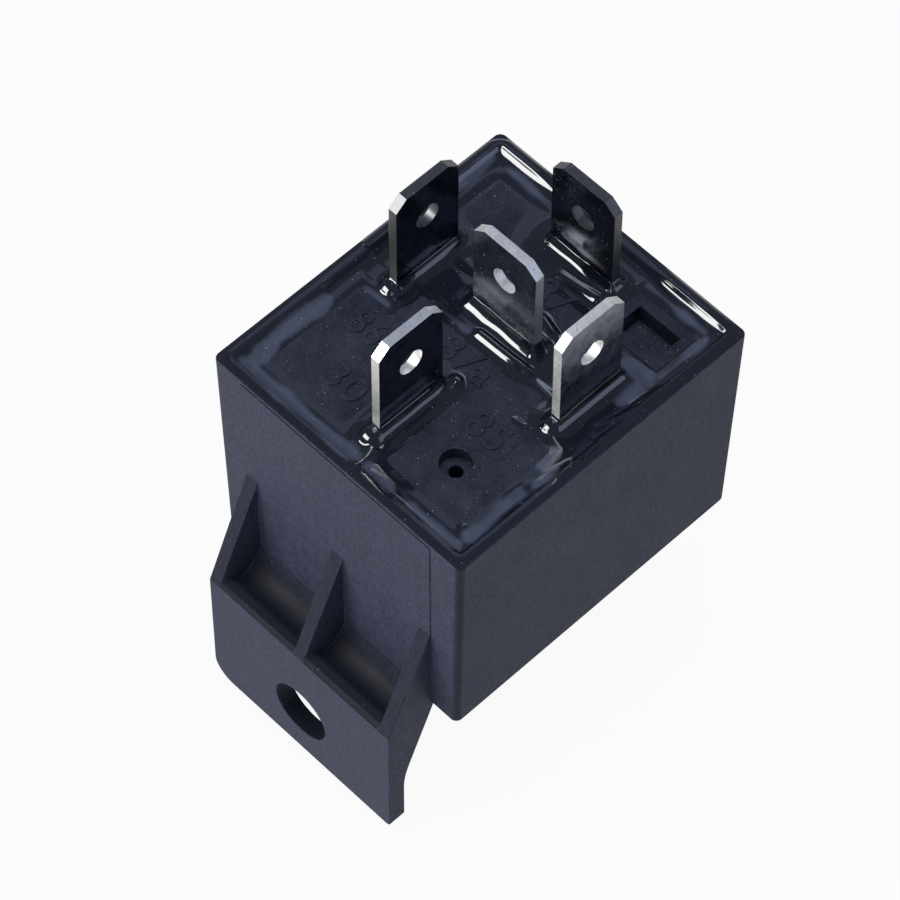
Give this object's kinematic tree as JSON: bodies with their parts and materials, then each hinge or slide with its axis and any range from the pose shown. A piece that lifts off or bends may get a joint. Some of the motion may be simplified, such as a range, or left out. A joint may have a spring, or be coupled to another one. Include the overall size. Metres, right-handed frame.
{
  "type": "automotive changeover relay",
  "caption": "Potted automotive relay with blade terminals, a drafted black cover and a ribbed moulded bracket with a screw hole.",
  "frame": {"origin": "centre of the mounting hole on the outer face of the bracket tab", "axes": "+Z the way the blades point, -Y out of the tab's outer face, +X completes the frame"},
  "size_m": [0.0256, 0.0337, 0.0455],
  "materials": {
    "cover_plastic": "fine spark texture, black",
    "base_plastic": "fine texture, black",
    "epoxy": "glossy black potting",
    "tinned_blade": "tin plated, sheared edges bright",
    "zinc_steel": "bright zinc plated",
    "bobbin_plastic": "moulded, black",
    "copper_wire": "enamelled copper",
    "solder": "bright solder",
    "spring_bronze": "rolled bronze strip",
    "rivet_brass": "headed brass",
    "contact_silver": "silver alloy faces"
  },
  "bodies": {
    "housing": {"cover": "cover_plastic", "base": "base_plastic", "sealing_resin": "epoxy", "terminal_30": "tinned_blade", "terminal_85": "tinned_blade", "terminal_86": "tinned_blade", "terminal_87": "tinned_blade", "terminal_87a": "tinned_blade", "yoke": "zinc_steel", "core": "zinc_steel", "bobbin": "bobbin_plastic", "coil_winding": "copper_wire", "lead_solder": "solder", "yoke_rivets": "rivet_brass", "no_contact": "contact_silver", "nc_contact": "contact_silver"},
    "armature_set": {"armature": "zinc_steel", "contact_spring": "spring_bronze", "armature_rivets": "rivet_brass", "moving_contact": "contact_silver"}
  },
  "joints": [
    {"name": "armature_swing", "type": "hinge", "parent": "housing", "child": "armature_set", "pos_m": [0, 0.0088, 0.01387], "axis": [1, 0, 0], "range_deg": [0, 3], "stiffness_Nm_per_rad": 0.05, "springref_deg": -8.59, "deforming": ["contact_spring"]}
  ]
}
